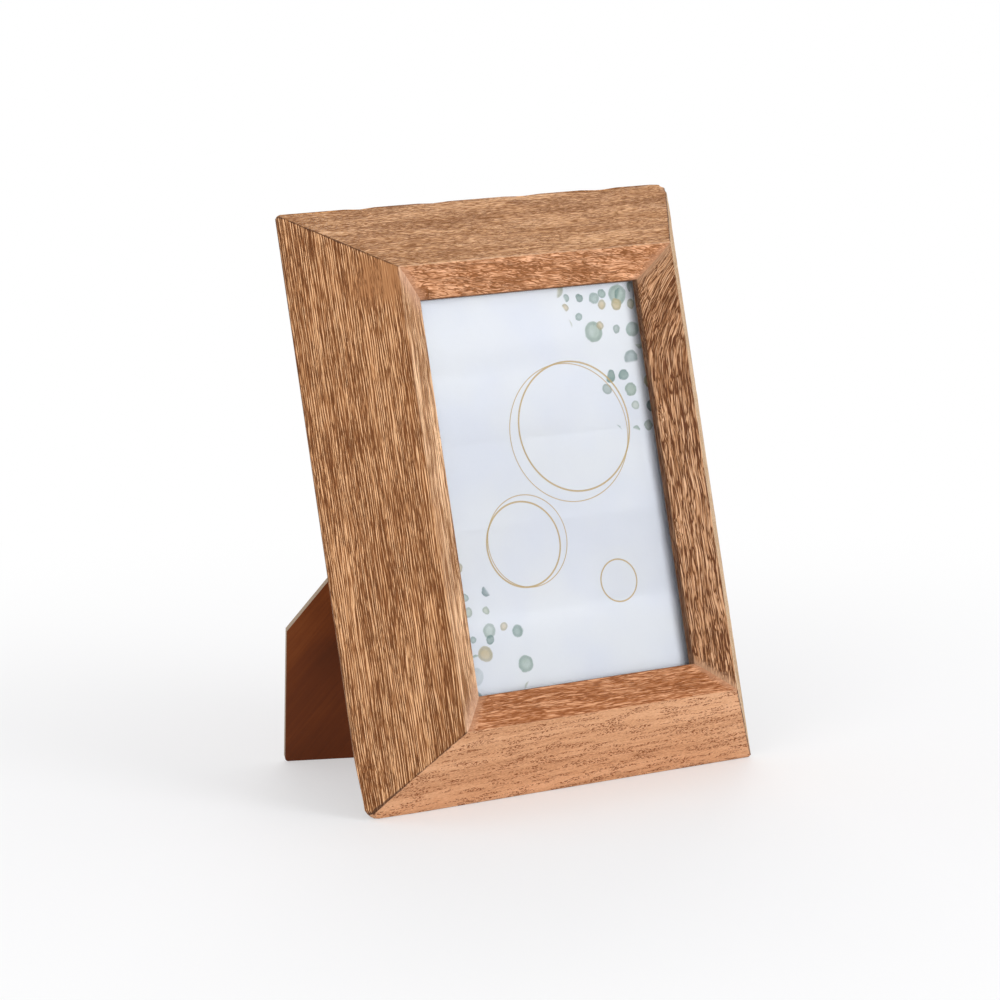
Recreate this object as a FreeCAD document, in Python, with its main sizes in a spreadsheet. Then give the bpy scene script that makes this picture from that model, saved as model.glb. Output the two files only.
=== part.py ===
import FreeCAD, Part
import math
import os

import Sketcher

# Easel back photo frame for a 10 x 15 cm print, leaning back on its open strut.
#
# The frame is drawn lying down: X to the right, Y up along the frame, Z out of its front, with
# Z = 0 in the plane of the ridges and the origin at the centre of the sight opening. The hinge
# has axes of its own: X along the pin, Y away from the foot, Z as the frame's, with Z = 0 on the
# frame's back. Placements then stand the pieces up, with the origin on the table in the middle
# of the edge that the bottom rail stands on.

# Driving dimensions, millimetres and degrees
SIZES = {
    # the print, and how far the moulding's lip reaches over it
    "photo_width": 102.0,
    "photo_height": 152.0,
    "photo_thickness": 0.3,
    "photo_clearance": 1.0,
    "side_overlap": 6.0,
    "end_overlap": 7.0,
    # moulding section
    "bevel_width": 11.5,
    "bevel_rise": 8.5,
    "slope_width": 25.5,
    "slope_drop": 35.0,
    "edge_depth": 1.5,
    "ridge_radius": 0.8,
    "corner_radius": 4.0,
    "lip_depth": 3.0,
    "board_ledge": 6.0,
    # what goes in with the print
    "pane_clearance": 0.5,
    "pane_thickness": 2.0,
    "card_thickness": 1.5,
    "spacer_thickness": 4.0,
    "board_thickness": 3.0,
    "board_clearance": 0.5,
    # nails driven across the mitres from the back
    "nail_inset": 12.0,
    "nail_leg": 6.5,
    "nail_thickness": 0.7,
    "nail_height": 10.0,
    # strut
    "strut_angle": 35.6,
    "strut_width": 63.0,
    "strut_thickness": 3.0,
    "strut_gap": 0.4,
    "strut_inset": 3.0,
    "foot_radius": 1.2,
    "strut_end_radius": 6.0,
    "hinge_offset": 12.5,
    # hinge
    "hinge_length": 38.0,
    "board_leaf_thickness": 0.8,
    "strut_leaf_thickness": 0.5,
    "leaf_reach": 17.0,
    "leaf_corner_radius": 2.0,
    "knuckle_length": 12.0,
    "knuckle_gap": 0.3,
    "knuckle_end_angle": 20.0,
    "pin_clearance": 0.05,
    "pin_head_radius": 1.8,
    "pin_head_length": 0.6,
    "heel_reach": 6.0,
    "heel_width": 9.0,
    "stop_gap": 0.3,
    # rivets
    "rivet_spacing": 24.0,
    "rivet_reach": 11.0,
    "rivet_radius": 1.5,
    "rivet_head_radius": 3.2,
    "rivet_head_height": 1.1,
    "rivet_tail_radius": 2.5,
    "rivet_tail_height": 1.0,
    # turn buttons and their screws
    "button_setback": 7.0,
    "button_reach": 9.0,
    "button_radius": 4.5,
    "button_thickness": 1.2,
    "button_gap": 0.3,
    "screw_radius": 1.4,
    "screw_clearance": 0.08,
    "screw_length": 12.0,
    "screw_tip": 2.5,
    "screw_head_radius": 3.0,
    "screw_head_height": 1.6,
    "screw_slot_width": 0.8,
    "screw_slot_depth": 0.7,
    # how far cuts run past the material
    "overrun": 5.0,
}


class Size:
    """A number together with the spreadsheet formula that gives it."""

    def __init__(self, value, formula=None):
        self.value = value
        self.formula = formula or f"({value})"

    def joined(self, sign, other, value):
        return Size(value, f"({self.formula} {sign} {other.formula})")

    def __add__(self, other):
        other = as_size(other)
        return self.joined("+", other, self.value + other.value)

    def __sub__(self, other):
        other = as_size(other)
        return self.joined("-", other, self.value - other.value)

    def __mul__(self, other):
        other = as_size(other)
        return self.joined("*", other, self.value * other.value)

    def __truediv__(self, other):
        other = as_size(other)
        return self.joined("/", other, self.value / other.value)

    def __neg__(self):
        return self * -1

    __radd__ = __add__
    __rmul__ = __mul__

    def __rsub__(self, other):
        return as_size(other) - self


def as_size(number):
    return number if isinstance(number, Size) else Size(number)


def sine(angle):
    return Size(math.sin(math.radians(angle.value)), f"sin({angle.formula})")


def cosine(angle):
    return Size(math.cos(math.radians(angle.value)), f"cos({angle.formula})")


def tangent(angle):
    return sine(angle) / cosine(angle)


def direction(rise, run):
    """The angle of a slope, in degrees."""
    return Size(math.degrees(math.atan2(rise.value, run.value)), f"atan2({rise.formula}; {run.formula})")


doc = FreeCAD.newDocument("EaselBackPhotoFrame")
sheet = doc.addObject("Spreadsheet::Sheet", "Sizes")


class NamedSizes:
    """Sizes by name. Each one that is set goes into the next row of the spreadsheet."""

    def __init__(self):
        self.__dict__["rows"] = 0

    def __setattr__(self, alias, content):
        size = as_size(content)
        text = f"={size.formula}" if isinstance(content, Size) else str(content)
        self.__dict__["rows"] += 1
        sheet.set(f"A{self.rows}", alias)
        sheet.set(f"B{self.rows}", text.replace("Sizes.", ""))
        sheet.setAlias(f"B{self.rows}", alias)
        self.__dict__[alias] = Size(size.value, f"Sizes.{alias}")


S = NamedSizes()
for name, number in SIZES.items():
    setattr(S, name, number)

# Moulding, derived
S.opening_width = S.photo_width - 2 * S.side_overlap
S.opening_height = S.photo_height - 2 * S.end_overlap
S.side_rabbet = S.side_overlap + S.photo_clearance
S.end_rabbet = S.end_overlap + S.photo_clearance
S.moulding_width = S.bevel_width + S.slope_width
S.half_opening_width = S.opening_width / 2
S.half_opening_height = S.opening_height / 2
S.half_width = S.half_opening_width + S.moulding_width
S.half_height = S.half_opening_height + S.moulding_width
S.frame_depth = S.slope_drop + S.edge_depth
S.bevel_angle = direction(S.bevel_rise, S.bevel_width)
S.slope_angle = direction(S.slope_drop, S.slope_width)
S.ridge_setback = S.ridge_radius * tangent((S.bevel_angle + S.slope_angle) / 2)

# Strut and hinge, derived: the strut lies along the frame's diagonal, the hinge square to that
S.hinge_turn = direction(S.half_width, S.half_height)
S.pin_height = (S.strut_gap + S.strut_thickness + S.board_leaf_thickness) / 2
S.bore_radius = S.pin_height - S.board_leaf_thickness
S.pin_radius = S.bore_radius - S.pin_clearance
S.strut_leaf_seat = S.strut_gap + S.strut_thickness + S.strut_leaf_thickness
S.half_strut = S.strut_width / 2
S.corner_x = S.strut_inset - S.half_width
S.corner_y = S.strut_inset - S.half_height
S.foot_x = S.corner_x * cosine(S.hinge_turn) - S.corner_y * sine(S.hinge_turn)
S.foot_y = S.corner_x * sine(S.hinge_turn) + S.corner_y * cosine(S.hinge_turn) - S.hinge_offset

# Lean, derived: the frame leans back until the open strut's foot meets the table
S.above_pin = S.pin_height - S.strut_gap
S.open_y = S.foot_y * cosine(S.strut_angle) - S.above_pin * sine(S.strut_angle)
S.open_z = S.foot_y * sine(S.strut_angle) + S.above_pin * cosine(S.strut_angle) - S.pin_height
S.foot_rise = (S.hinge_offset + S.open_y) * cosine(S.hinge_turn) - S.foot_x * sine(S.hinge_turn)
S.foot_back = S.frame_depth - S.open_z
S.lean = direction(S.foot_rise + S.half_height, S.foot_back - S.slope_drop)

# The foot's bottom edge, derived: it lies level on the table
S.level_run = (cosine(S.strut_angle) * cosine(S.hinge_turn) * cosine(S.lean)
               + sine(S.strut_angle) * sine(S.lean))
S.level_rise = sine(S.hinge_turn) * cosine(S.lean) / S.level_run
S.shoulder_left_y = S.foot_y + (S.half_strut + S.foot_x) / tangent(S.hinge_turn)
S.shoulder_right_y = S.foot_y + (S.half_strut - S.foot_x) * S.level_rise
S.strut_end_y = -(S.pin_height + S.knuckle_gap)

# Standing edge, derived: the moulding's outermost edge is cut level with the table
S.edge_setback = S.edge_depth * tangent(S.lean)
S.stand_y = S.edge_setback / 2 - S.half_height
S.stand_z = -(S.slope_drop + S.edge_depth / 2)

# What the moulding holds, derived: depths below the ridges, and sizes
S.pane_front = S.bevel_rise + S.lip_depth
S.photo_front = S.pane_front + S.pane_thickness
S.card_front = S.photo_front + S.photo_thickness
S.spacer_front = S.card_front + S.card_thickness
S.board_front = S.frame_depth - S.board_thickness
S.spacer_depth = S.board_front - S.spacer_front
S.pane_margin = S.photo_clearance - S.pane_clearance
S.pane_width = S.photo_width + 2 * S.pane_margin
S.pane_height = S.photo_height + 2 * S.pane_margin
S.board_margin = S.photo_clearance + S.board_ledge - S.board_clearance
S.board_width = S.photo_width + 2 * S.board_margin
S.board_height = S.photo_height + 2 * S.board_margin
S.button_seat = S.frame_depth + S.button_gap + S.button_thickness
S.screw_seat = S.button_seat + S.button_gap
doc.recompute()


# Placements
def shift(dx, dy, dz):
    vector = FreeCAD.Vector(as_size(dx).value, as_size(dy).value, as_size(dz).value)
    return FreeCAD.Placement(vector, FreeCAD.Rotation())


def turned(x, y, z, degrees):
    return FreeCAD.Placement(FreeCAD.Vector(), FreeCAD.Rotation(FreeCAD.Vector(x, y, z), degrees))


# Leaning back, with the middle of the standing edge at the origin
STAND = turned(1, 0, 0, 90 - S.lean.value) * shift(0, -S.stand_y, -S.stand_z)
# On the hinge's axes, and on the strut's once it has swung open about the pin
ON_HINGE = (STAND * shift(0, 0, -S.frame_depth) * turned(0, 0, 1, -S.hinge_turn.value)
            * shift(0, S.hinge_offset, 0))
ON_STRUT = (ON_HINGE * shift(0, 0, -S.pin_height) * turned(1, 0, 0, S.strut_angle.value)
            * shift(0, 0, S.pin_height))


# Sketch helpers
def new_body(label, placement):
    body = doc.addObject("PartDesign::Body", label)
    body.Label = label
    body.Placement = placement
    return body


def new_sketch(body, name, plane, height=None):
    """A sketch on one of the body's origin planes, moved along its normal where height is given."""
    sketch = body.newObject("Sketcher::SketchObject", name)
    datum = next(f for f in body.Origin.OriginFeatures if f.Role == plane)
    sketch.AttachmentSupport = [(datum, "")]
    sketch.MapMode = "FlatFace"
    if height is not None:
        sketch.AttachmentOffset = shift(0, 0, height)
        sketch.setExpression(".AttachmentOffset.Base.z", height.formula)
    return sketch


def pin_down(sketch, geometry, end, axis, distance):
    """Holds one coordinate of a point to a size, or the point to an axis where it is zero."""
    size = as_size(distance)
    if size.value == 0:
        axis_line = -2 if axis == "X" else -1
        sketch.addConstraint(Sketcher.Constraint("PointOnObject", geometry, end, axis_line))
        return
    held = Sketcher.Constraint("Distance" + axis, -1, 1, geometry, end, size.value)
    sketch.setExpression(f"Constraints[{sketch.addConstraint(held)}]", size.formula)


def point(spot):
    return FreeCAD.Vector(as_size(spot[0]).value, as_size(spot[1]).value, 0)


def arc_between(start, end, centre, way):
    """An arc anticlockwise from start to end where way is 1, and clockwise where it is -1."""
    spokes = [start - centre, end - centre][::way]
    angles = [math.atan2(spoke.y, spoke.x) for spoke in spokes]
    if angles[1] < angles[0]:
        angles[1] += 2 * math.pi
    circle = Part.Circle(centre, FreeCAD.Vector(0, 0, 1), spokes[0].Length)
    return Part.ArcOfCircle(circle, angles[0], angles[1])


def outline(sketch, spots, arcs=None):
    """A closed outline through spots. arcs gives (centre, way) for each side that is round,
    by the number of the spot it starts from."""
    arcs = arcs or {}
    count = len(spots)
    base = sketch.GeometryCount
    for i in range(count):
        start = point(spots[i])
        end = point(spots[(i + 1) % count])
        if i in arcs:
            centre, way = arcs[i]
            sketch.addGeometry(arc_between(start, end, point(centre), way), False)
        else:
            sketch.addGeometry(Part.LineSegment(start, end), False)

    for i in range(count):
        before = (i - 1) % count
        reversed_here = i in arcs and arcs[i][1] < 0
        reversed_before = before in arcs and arcs[before][1] < 0
        begin = (base + i, 2 if reversed_here else 1)
        finish = (base + before, 1 if reversed_before else 2)
        sketch.addConstraint(Sketcher.Constraint("Coincident", *finish, *begin))
        if i in arcs:
            for axis, distance in zip("XY", arcs[i][0]):
                pin_down(sketch, base + i, 3, axis, distance)
        held = "XY"
        if before in arcs:
            # the spot slides on the arc that it ends, so one coordinate settles it
            spoke = point(spots[i]) - point(arcs[before][0])
            held = "Y" if abs(spoke.x) > abs(spoke.y) else "X"
        for axis, distance in zip("XY", spots[i]):
            if axis in held:
                pin_down(sketch, *begin, axis, distance)


def box_outline(sketch, left, right, low, high):
    outline(sketch, [(left, low), (right, low), (right, high), (left, high)])


def centred_box(sketch, width, height):
    box_outline(sketch, -width / 2, width / 2, -height / 2, height / 2)


def circle_at(sketch, spot, radius):
    circle = Part.Circle(point(spot), FreeCAD.Vector(0, 0, 1), radius.value)
    index = sketch.addGeometry(circle, False)
    for axis, distance in zip("XY", spot):
        pin_down(sketch, index, 3, axis, distance)
    held = sketch.addConstraint(Sketcher.Constraint("Radius", index, radius.value))
    sketch.setExpression(f"Constraints[{held}]", radius.formula)


# Feature helpers
def pad(body, sketch, length, side="One side"):
    feature = body.newObject("PartDesign::Pad", "Pad")
    feature.Profile = sketch
    feature.SideType = side
    feature.setExpression("Length", length.formula)
    doc.recompute()


def pocket(body, sketch, depth=None):
    """Cuts down from the sketch, to a depth or through everything."""
    before = body.Shape.Volume
    feature = body.newObject("PartDesign::Pocket", "Pocket")
    feature.Profile = sketch
    if depth is None:
        feature.Type = "ThroughAll"
    else:
        feature.setExpression("Length", depth.formula)
    doc.recompute()
    if body.Shape.Volume >= before:
        raise RuntimeError(f"{body.Label}: {sketch.Label} cuts nothing")


def revolve(body, sketch):
    feature = body.newObject("PartDesign::Revolution", "Revolution")
    feature.Profile = sketch
    feature.ReferenceAxis = (sketch, ["V_Axis"])
    doc.recompute()


def dress(body, kind, dimension, amount, wanted):
    """A fillet or a chamfer on every edge of the body that is wanted, by its middle."""
    names = []
    for number, edge in enumerate(body.Tip.Shape.Edges, start=1):
        middle = edge.valueAt((edge.FirstParameter + edge.LastParameter) / 2)
        if wanted(edge, middle):
            names.append(f"Edge{number}")
    if not names:
        raise RuntimeError(f"{body.Label}: no edge for a {kind.lower()}")
    base = body.Tip
    feature = body.newObject("PartDesign::" + kind, kind)
    feature.Base = (base, names)
    feature.setExpression(dimension, amount.formula)
    doc.recompute()


def round_corners(body, corners, radius):
    """Rounds the edges that stand square to the plan at the corners given."""
    spots = [point(corner) for corner in corners]
    slack = S.strut_gap.value / 10

    def at_corner(edge, middle):
        upright = edge.BoundBox.XLength < slack and edge.BoundBox.YLength < slack
        flat = FreeCAD.Vector(middle.x, middle.y, 0)
        return upright and any(flat.distanceToPoint(spot) < slack for spot in spots)

    dress(body, "Fillet", "Radius", radius, at_corner)


# Moulding
def draw_section(sketch, side, half_opening, rabbet):
    """Section of one member, out from the edge of the sight opening on its side."""
    def out(distance):
        return side * (half_opening + distance)

    bevel = S.bevel_angle
    slope = S.slope_angle
    board_rabbet = rabbet + S.board_ledge
    ridge_in = S.bevel_width - S.ridge_setback * cosine(bevel)
    ridge_in_z = -(S.ridge_setback * sine(bevel))
    spots = [
        (out(0), -S.bevel_rise),
        (out(ridge_in), ridge_in_z),
        (out(S.bevel_width + S.ridge_setback * cosine(slope)), -(S.ridge_setback * sine(slope))),
        (out(S.moulding_width), -S.slope_drop),
        (out(S.moulding_width - S.edge_setback), -S.frame_depth),
        (out(board_rabbet), -S.frame_depth),
        (out(board_rabbet), -S.board_front),
        (out(rabbet), -S.board_front),
        (out(rabbet), -S.pane_front),
        (out(0), -S.pane_front),
    ]
    centre = (out(ridge_in + S.ridge_radius * sine(bevel)), ridge_in_z - S.ridge_radius * cosine(bevel))
    outline(sketch, spots, {1: (centre, -side)})


def draw_mitre(sketch, stile, side, end):
    """What is cut off one end of a member: everything past the mitre and the rounded corner."""
    half_across = S.half_width if stile else S.half_height
    half_along = S.half_height if stile else S.half_width
    inner_across = half_across - S.moulding_width - S.overrun
    inner_along = half_along - S.moulding_width - S.overrun
    rounding = S.corner_radius * (1 - math.sqrt(0.5))

    def spot(across, along):
        across = side * across
        along = end * along
        return (across, along) if stile else (along, across)

    spots = [
        spot(inner_across, inner_along),
        spot(half_across - rounding, half_along - rounding),
        spot(half_across, half_along - S.corner_radius),
        spot(half_across + S.overrun, half_along - S.corner_radius),
        spot(half_across + S.overrun, half_along + S.overrun),
        spot(inner_across, half_along + S.overrun),
    ]
    centre = spot(half_across - S.corner_radius, half_along - S.corner_radius)
    way = -side * end if stile else side * end
    outline(sketch, spots, {1: (centre, way)})


def draw_nail(sketch, side_x, side_y):
    """A corner nail's two legs, one in each member."""
    outer_x = S.half_width - S.nail_inset
    outer_y = S.half_height - S.nail_inset
    spots = [
        (outer_x, outer_y),
        (outer_x - S.nail_leg, outer_y),
        (outer_x - S.nail_leg, outer_y - S.nail_thickness),
        (outer_x - S.nail_thickness, outer_y - S.nail_thickness),
        (outer_x - S.nail_thickness, outer_y - S.nail_leg),
        (outer_x, outer_y - S.nail_leg),
    ]
    outline(sketch, [(side_x * across, side_y * up) for across, up in spots])


def button_spot(side_x, side_y):
    """The pivot of the turn button in the middle of one side."""
    out = S.board_ledge + S.button_setback
    return (side_x * (S.half_opening_width + S.side_rabbet + out) if side_x else 0,
            side_y * (S.half_opening_height + S.end_rabbet + out) if side_y else 0)


def make_member(label, side_x, side_y):
    """A stile or a rail, mitred, slotted for the corner nails and drilled for a button's screw."""
    body = new_body(label, STAND)
    stile = side_y == 0
    side = side_x or side_y
    section = new_sketch(body, "Section", "XZ_Plane" if stile else "YZ_Plane")
    if stile:
        draw_section(section, side, S.half_opening_width, S.side_rabbet)
    else:
        draw_section(section, side, S.half_opening_height, S.end_rabbet)
    length = 2 * ((S.half_height if stile else S.half_width) + S.overrun)
    pad(body, section, length, "Symmetric")

    mitres = new_sketch(body, "Mitres", "XY_Plane")
    slots = new_sketch(body, "NailSlots", "XY_Plane", S.nail_height - S.frame_depth)
    for end in (1, -1):
        draw_mitre(mitres, stile, side, end)
        draw_nail(slots, side_x or end, side_y or end)
    pocket(body, mitres)
    pocket(body, slots, S.nail_height + S.overrun)

    hole = new_sketch(body, "ScrewHole", "XY_Plane", S.screw_length - S.frame_depth)
    circle_at(hole, button_spot(side_x, side_y), S.screw_radius)
    pocket(body, hole, S.screw_length + S.overrun)
    return body


def make_corner_nail(number, side_x, side_y):
    body = new_body(f"corner_nail_{number}", STAND)
    plan = new_sketch(body, "Plan", "XY_Plane", -S.frame_depth)
    draw_nail(plan, side_x, side_y)
    pad(body, plan, S.nail_height)
    return body


# What the moulding holds
def make_sheet(label, width, height, front, thickness):
    body = new_body(label, STAND)
    plan = new_sketch(body, "Plan", "XY_Plane", -(front + thickness))
    centred_box(plan, width, height)
    pad(body, plan, thickness)
    return body


def make_spacer(label, side_x, side_y):
    """A strip on edge between the card and the back board. The upright ones run full height."""
    body = new_body(label, STAND)
    plan = new_sketch(body, "Plan", "XY_Plane", -S.board_front)
    half_width = S.pane_width / 2
    half_height = S.pane_height / 2
    inside = half_width - S.spacer_thickness
    if side_x:
        edges = sorted([side_x * inside, side_x * half_width], key=lambda edge: edge.value)
        edges += [-half_height, half_height]
    else:
        edges = sorted([side_y * (half_height - S.spacer_thickness), side_y * half_height],
                       key=lambda edge: edge.value)
        edges = [-inside, inside] + edges
    box_outline(plan, *edges)
    pad(body, plan, S.spacer_depth)
    return body


def make_back_board():
    body = make_sheet("back_board", S.board_width, S.board_height, S.board_front, S.board_thickness)
    holes = new_sketch(body, "RivetHoles", "XY_Plane")
    reach = S.hinge_offset + S.rivet_reach
    for end in (-1, 1):
        along = end * S.rivet_spacing / 2
        spot = (reach * sine(S.hinge_turn) + along * cosine(S.hinge_turn),
                reach * cosine(S.hinge_turn) - along * sine(S.hinge_turn))
        circle_at(holes, spot, S.rivet_radius)
    pocket(body, holes)
    return body


# Strut and hinge
def cut_rivet_holes(body, side, height):
    holes = new_sketch(body, "RivetHoles", "XY_Plane", height)
    for end in (-1, 1):
        circle_at(holes, (end * S.rivet_spacing / 2, side * S.rivet_reach), S.rivet_radius)
    pocket(body, holes)


def make_strut():
    body = new_body("strut_board", ON_STRUT)
    inner_face = -S.strut_gap
    foot = (S.foot_x, S.foot_y)
    ends = [(S.half_strut, S.strut_end_y), (-S.half_strut, S.strut_end_y)]
    plan = new_sketch(body, "Plan", "XY_Plane", inner_face - S.strut_thickness)
    outline(plan, [foot, (S.half_strut, S.shoulder_right_y), *ends, (-S.half_strut, S.shoulder_left_y)])
    pad(body, plan, S.strut_thickness)
    cut_rivet_holes(body, -1, inner_face)

    def hole_rim(edge, middle):
        return len(edge.Vertexes) == 1 and abs(middle.z - inner_face.value) < S.strut_gap.value / 2

    dress(body, "Chamfer", "Size", S.rivet_tail_radius - S.rivet_radius, hole_rim)
    round_corners(body, ends, S.strut_end_radius)
    round_corners(body, [foot], S.foot_radius)
    return body


def make_leaf(label, placement, side, thickness):
    """A stamped leaf rolled round the pin: side 1 for the board's, which lies above the pin, and
    side -1 for the strut's, which lies below it, turned half round."""
    body = new_body(label, placement)
    roll_radius = S.bore_radius + thickness

    def spot(across, up):
        """A place on the section, given from the pin."""
        return (side * across, side * up - S.pin_height)

    end_run = cosine(S.knuckle_end_angle)
    end_rise = sine(S.knuckle_end_angle)
    section = new_sketch(body, "Section", "YZ_Plane")
    spots = [
        spot(S.leaf_reach, S.bore_radius),
        spot(S.leaf_reach, roll_radius),
        spot(0, roll_radius),
        spot(roll_radius * end_run, roll_radius * end_rise),
        spot(S.bore_radius * end_run, S.bore_radius * end_rise),
        spot(0, S.bore_radius),
    ]
    pin_axis = (0, -S.pin_height)
    outline(section, spots, {2: (pin_axis, 1), 4: (pin_axis, -1)})
    pad(body, section, S.hinge_length, "Symmetric")

    # room for the other leaf's knuckles
    notches = new_sketch(body, "Notches", "XY_Plane", S.overrun)
    half_knuckle = S.knuckle_length / 2
    room = S.pin_height + S.knuckle_gap
    if side > 0:
        box_outline(notches, -half_knuckle - S.knuckle_gap, half_knuckle + S.knuckle_gap, -room, room)
    else:
        past_end = S.hinge_length / 2 + S.overrun
        box_outline(notches, half_knuckle, past_end, -room, room)
        box_outline(notches, -past_end, -half_knuckle, -room, room)
    pocket(body, notches)
    cut_rivet_holes(body, side, S.overrun)
    tips = [(end * S.hinge_length / 2, side * S.leaf_reach) for end in (-1, 1)]
    round_corners(body, tips, S.leaf_corner_radius)
    return body


def add_heel(body):
    """A tab past the pin that comes up against the board's leaf and stops the strut."""
    run = cosine(S.strut_angle)
    rise = sine(S.strut_angle)

    def spot(across, up):
        """A place given from the pin with the strut open, swung back to where it is closed."""
        return (across * run + up * rise, up * run - across * rise - S.pin_height)

    top = S.bore_radius - S.stop_gap
    under = top - S.strut_leaf_thickness
    section = new_sketch(body, "Heel", "YZ_Plane")
    outline(section, [
        spot(S.bore_radius, under),
        spot(S.heel_reach, under),
        spot(S.heel_reach, top),
        spot(S.bore_radius, top),
    ])
    pad(body, section, S.heel_width, "Symmetric")
    return body


# Round fasteners, drawn with their seat at Z = 0, their head below it and their shank above
def dome(radius, height):
    """The first two spots of a domed head, and the arc between them."""
    ball = (radius * radius + height * height) / (2 * height)
    return [(0, -height), (radius, 0)], ((0, ball - height), 1)


def make_pin():
    body = new_body("hinge_pin", ON_HINGE * shift(0, 0, -S.pin_height) * turned(0, 1, 0, 90))
    section = new_sketch(body, "Section", "XZ_Plane")
    half = S.hinge_length / 2
    past = half + S.pin_head_length
    outline(section, [
        (0, -past), (S.pin_head_radius, -past), (S.pin_head_radius, -half), (S.pin_radius, -half),
        (S.pin_radius, half), (S.pin_head_radius, half), (S.pin_head_radius, past), (0, past),
    ])
    revolve(body, section)
    return body


def make_rivet(label, placement, grip, sunk):
    """A rivet with its domed head on a leaf, and its tail sunk flush or set over beyond."""
    body = new_body(label, placement)
    spots, arc = dome(S.rivet_head_radius, S.rivet_head_height)
    spots.append((S.rivet_radius, 0))
    if sunk:
        spots += [(S.rivet_radius, grip - (S.rivet_tail_radius - S.rivet_radius)),
                  (S.rivet_tail_radius, grip), (0, grip)]
    else:
        past = grip + S.rivet_tail_height
        spots += [(S.rivet_radius, grip), (S.rivet_tail_radius, grip),
                  (S.rivet_tail_radius, past), (0, past)]
    section = new_sketch(body, "Section", "XZ_Plane")
    outline(section, spots, {0: arc})
    revolve(body, section)
    return body


def make_screw(label, side_x, side_y):
    across, up = button_spot(side_x, side_y)
    body = new_body(label, STAND * shift(across, up, -S.screw_seat))
    grip = S.screw_seat - S.frame_depth + S.screw_length
    spots, arc = dome(S.screw_head_radius, S.screw_head_height)
    spots += [(S.screw_radius, 0), (S.screw_radius, grip - S.screw_tip), (0, grip)]
    section = new_sketch(body, "Section", "XZ_Plane")
    outline(section, spots, {0: arc})
    revolve(body, section)
    slot = new_sketch(body, "Slot", "XY_Plane", S.screw_slot_depth - S.screw_head_height)
    centred_box(slot, S.screw_slot_width, 2 * S.screw_head_radius + S.overrun)
    pocket(body, slot, S.screw_slot_depth + S.overrun)
    return body


def make_button(label, side_x, side_y):
    """A turn button with its tip over the back board."""
    across, up = button_spot(side_x, side_y)
    inward = math.degrees(math.atan2(-side_y, -side_x))
    body = new_body(label, STAND * shift(across, up, -S.button_seat) * turned(0, 0, 1, inward))
    plan = new_sketch(body, "Plan", "XY_Plane")
    spots = [(0, -S.button_radius), (S.button_reach, -S.button_radius),
             (S.button_reach, S.button_radius), (0, S.button_radius)]
    outline(plan, spots, {1: ((S.button_reach, 0), 1), 3: ((0, 0), 1)})
    circle_at(plan, (0, 0), S.screw_radius + S.screw_clearance)
    pad(body, plan, S.button_thickness)
    return body


def grouped(label, bodies):
    """Identical fasteners as one named group."""
    group = doc.addObject("Part::Compound", label)
    group.Label = label
    group.Links = bodies
    return group


def make_rivets(label, placement, side, seat, grip, sunk):
    bodies = []
    for number, end in enumerate((-1, 1), start=1):
        spot = shift(end * S.rivet_spacing / 2, side * S.rivet_reach, -seat)
        bodies.append(make_rivet(f"{label}_{number}", placement * spot, grip, sunk))
    return grouped(label, bodies)


SIDES = {"left": (-1, 0), "right": (1, 0), "top": (0, 1), "bottom": (0, -1)}
CORNERS = [(-1, -1), (1, -1), (1, 1), (-1, 1)]

pieces = [make_member(("stile_" if side[0] else "rail_") + name, *side) for name, side in SIDES.items()]
nails = [make_corner_nail(number, *corner) for number, corner in enumerate(CORNERS, start=1)]
pieces.append(grouped("corner_nails", nails))
pieces.append(make_sheet("glass", S.pane_width, S.pane_height, S.pane_front, S.pane_thickness))
pieces.append(make_sheet("print_sheet", S.photo_width, S.photo_height, S.photo_front, S.photo_thickness))
pieces.append(make_sheet("backing_card", S.pane_width, S.pane_height, S.card_front, S.card_thickness))
pieces += [make_spacer("spacer_" + name, *side) for name, side in SIDES.items()]
pieces.append(make_back_board())
pieces.append(make_strut())
pieces.append(make_leaf("hinge_leaf_board", ON_HINGE, 1, S.board_leaf_thickness))
pieces.append(add_heel(make_leaf("hinge_leaf_strut", ON_STRUT, -1, S.strut_leaf_thickness)))
pieces.append(make_pin())
pieces.append(make_rivets("board_rivets", ON_HINGE, 1, S.board_leaf_thickness,
                          S.board_leaf_thickness + S.board_thickness, False))
pieces.append(make_rivets("strut_rivets", ON_STRUT, -1, S.strut_leaf_seat,
                          S.strut_leaf_seat - S.strut_gap, True))
pieces += [make_button("turn_button_" + name, *side) for name, side in SIDES.items()]
screws = [make_screw("button_screw_" + name, *side) for name, side in SIDES.items()]
pieces.append(grouped("button_screws", screws))
doc.recompute()

for thing in doc.Objects:
    if {"Invalid", "Error"} & set(thing.State):
        raise RuntimeError(f"{thing.Label} did not recompute")
for piece in pieces:
    if piece.Shape.isNull() or not piece.Shape.isValid() or not piece.Shape.Solids:
        raise RuntimeError(f"{piece.Label} has no sound solid")

os.makedirs("parts", exist_ok=True)
for piece in pieces:
    piece.Shape.exportStep(f"parts/{piece.Label}.step")
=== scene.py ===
import math

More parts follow.
